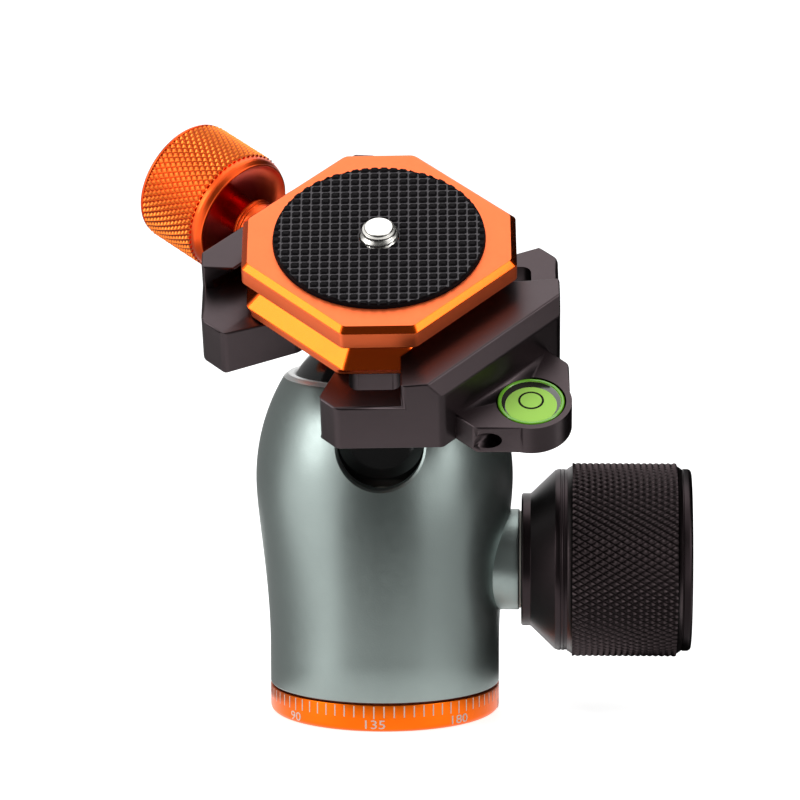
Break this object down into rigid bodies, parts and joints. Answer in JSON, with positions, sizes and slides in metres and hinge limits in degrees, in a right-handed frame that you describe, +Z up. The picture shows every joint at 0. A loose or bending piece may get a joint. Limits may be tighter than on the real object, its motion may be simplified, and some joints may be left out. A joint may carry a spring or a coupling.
{
  "type": "tripod ball head",
  "caption": "Tripod ball head with a panning base, a locking ball with a drop notch, and a dovetail screw clamp holding an octagonal quick-release plate.",
  "frame": {"origin": "centre of the base's underside, at the mouth of the tripod thread", "axes": "+Z up along the pan axis, +X along the lock knob's axis, -Y through the drop notch"},
  "size_m": [0.0918, 0.065, 0.0974],
  "materials": {
    "slate_anodised": "satin metallic",
    "copper_anodised": "satin anodised",
    "black_anodised": "satin anodised",
    "black_gloss": "smooth gloss coating",
    "black_knob": "matte knurled",
    "rubber": "matte waffle",
    "steel": "machined",
    "nylon": "plain",
    "brake_lining": "dry friction lining",
    "vial_acrylic": "clear tinted",
    "vial_liquid": "clear tinted"
  },
  "bodies": {
    "base": {"base_ring": "copper_anodised", "base_spindle": "steel", "base_screws": "steel", "thrust_washer": "nylon", "pan_retainer": "steel"},
    "housing": {"housing": "slate_anodised", "housing_floor": "slate_anodised", "knob_washer": "nylon", "brake_block": "steel", "brake_pad": "brake_lining", "carrier_springs": "steel"},
    "cup": {"cup_carrier": "steel", "ball_cup": "nylon"},
    "wedge": {"lock_wedge": "steel", "bolt_stop": "steel"},
    "lock_knob": {"knob_core": "black_knob", "knob_nut": "steel", "knob_grip": "black_knob", "knob_cap": "black_knob"},
    "ball": {"ball": "black_gloss"},
    "clamp": {"clamp_body": "black_anodised", "mount_screw": "steel", "guide_pins": "steel", "level_cup": "vial_acrylic", "level_liquid": "vial_liquid", "jaw_springs": "steel"},
    "jaw": {"moving_jaw": "black_anodised"},
    "clamp_knob": {"clamp_knob": "copper_anodised", "clamp_screw": "steel", "clamp_washer": "steel"},
    "plate": {"plate": "copper_anodised", "plate_pad": "rubber", "screw_clip": "steel"},
    "camera_screw": {"camera_screw": "steel"}
  },
  "joints": [
    {"name": "pan", "type": "hinge", "parent": "base", "child": "housing", "pos_m": [0, 0, 0], "axis": [0, 0, 1], "continuous": true},
    {"name": "lock_turn", "type": "hinge", "parent": "housing", "child": "lock_knob", "pos_m": [0.03, 0, 0.0255], "axis": [1, 0, 0], "range_deg": [0, 450]},
    {"name": "wedge_slide", "type": "slide", "parent": "housing", "child": "wedge", "axis": [-1, 0, 0], "range_m": [0, 0.00126]},
    {"name": "cup_slide", "type": "slide", "parent": "housing", "child": "cup", "axis": [0, 0, -1], "range_m": [0, 0.00011], "deforming": ["carrier_springs"]},
    {"name": "ball_tilt", "type": "hinge", "parent": "housing", "child": "ball", "pos_m": [0, 0, 0.0475], "axis": [1, 0, 0], "range_deg": [-68, 56.4]},
    {"name": "clamp_spin", "type": "hinge", "parent": "ball", "child": "clamp", "pos_m": [0, 0, 0.0475], "axis": [0, -0.5534, 0.8329], "continuous": true},
    {"name": "jaw_slide", "type": "slide", "parent": "clamp", "child": "jaw", "axis": [-0.7254, 0.5733, 0.3809], "range_m": [0, 0.0041], "deforming": ["jaw_springs"]},
    {"name": "clamp_knob_turn", "type": "hinge", "parent": "jaw", "child": "clamp_knob", "pos_m": [-0.02901, 0.00796, 0.08527], "axis": [-0.7254, 0.5733, 0.3809], "range_deg": [0, 1800]},
    {"name": "plate_slide", "type": "slide", "parent": "clamp", "child": "plate", "axis": [0.6884, 0.6042, 0.4014], "range_m": [-0.012, 0.012]},
    {"name": "camera_screw_turn", "type": "hinge", "parent": "plate", "child": "camera_screw", "pos_m": [0, -0.0228, 0.08182], "axis": [0, -0.5534, 0.8329], "continuous": true}
  ],
  "couplings": [
    {"joint": "wedge_slide", "follows": "lock_turn", "m_per_rad": 0.00015915},
    {"joint": "cup_slide", "follows": "lock_turn", "m_per_rad": 0.000013924},
    {"joint": "jaw_slide", "follows": "clamp_knob_turn", "m_per_rad": 0.00012732}
  ]
}
